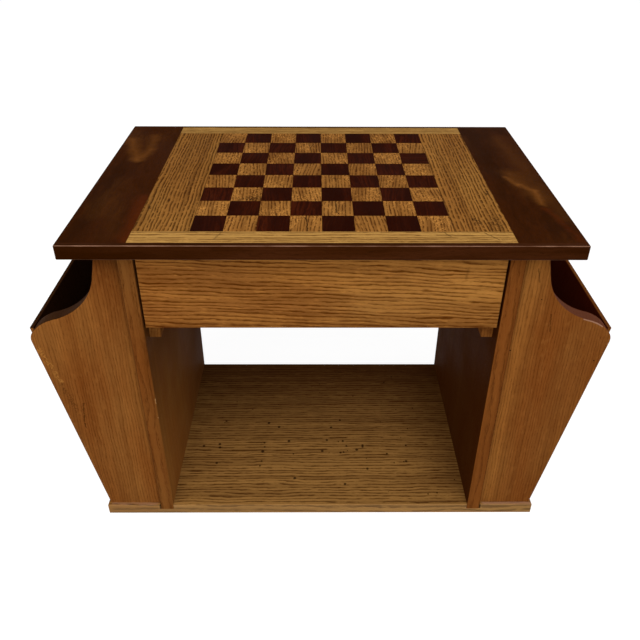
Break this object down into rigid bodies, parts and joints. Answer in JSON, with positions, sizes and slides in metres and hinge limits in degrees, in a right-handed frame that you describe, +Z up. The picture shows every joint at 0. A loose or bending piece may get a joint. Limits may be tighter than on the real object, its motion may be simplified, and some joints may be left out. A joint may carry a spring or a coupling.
{
  "type": "chess side table",
  "caption": "Low wooden side table with an inlaid chessboard top, a drawer above an open shelf bay, and a sloping magazine pocket at each end.",
  "frame": {"origin": "on the floor under the middle of the table", "axes": "+Z up, -Y is the front where the drawer opens, +X to the right of someone facing the drawer"},
  "size_m": [0.7446, 0.3682, 0.4953],
  "materials": {
    "walnut": "satin clear lacquer on dark walnut",
    "pale_oak": "satin clear lacquer on pale oak",
    "field_oak": "satin clear lacquer on oak, open grain",
    "light_square_oak": "satin clear lacquer on flecked oak",
    "dark_square_walnut": "satin clear lacquer on dark red-brown walnut",
    "shelf_oak": "thin worn varnish on oak",
    "case_oak": "satin golden-brown stain and varnish on oak",
    "drawer_oak": "satin golden-brown stain on flat-sawn oak",
    "panel_plywood": "stained and varnished plywood, layered edge",
    "plywood": "bare plywood",
    "runner_wood": "bare oak, planed",
    "drawer_box_wood": "bare pale hardwood, planed",
    "zinc_screw_steel": "dull zinc",
    "nail_steel": "dull drawn steel"
  },
  "bodies": {
    "case": {"top_core": "plywood", "left_walnut_board": "walnut", "right_walnut_board": "walnut", "front_edging": "walnut", "back_edging": "walnut", "front_oak_strip": "pale_oak", "back_oak_strip": "pale_oak", "left_oak_field": "field_oak", "right_oak_field": "field_oak", "light_squares": "light_square_oak", "dark_squares": "dark_square_walnut", "base_board": "shelf_oak", "left_side_panel": "case_oak", "right_side_panel": "case_oak", "back_rail": "case_oak", "left_drawer_runner": "runner_wood", "right_drawer_runner": "runner_wood", "left_top_cleat": "runner_wood", "right_top_cleat": "runner_wood", "left_pocket_front_end": "case_oak", "left_pocket_back_end": "case_oak", "right_pocket_front_end": "case_oak", "right_pocket_back_end": "case_oak", "left_pocket_outer_panel": "panel_plywood", "right_pocket_outer_panel": "panel_plywood", "base_screws": "zinc_screw_steel", "top_screws": "zinc_screw_steel", "cleat_screws": "zinc_screw_steel", "runner_screws": "zinc_screw_steel", "rail_screws": "zinc_screw_steel", "pocket_nails": "nail_steel", "panel_brads": "nail_steel"},
    "drawer": {"drawer_front": "drawer_oak", "drawer_left_side": "drawer_box_wood", "drawer_right_side": "drawer_box_wood", "drawer_back": "drawer_box_wood", "drawer_bottom": "plywood", "drawer_nails": "nail_steel"}
  },
  "joints": [
    {"name": "drawer_slide", "type": "slide", "parent": "case", "child": "drawer", "axis": [0, -1, 0], "range_m": [0, 0.24]}
  ]
}
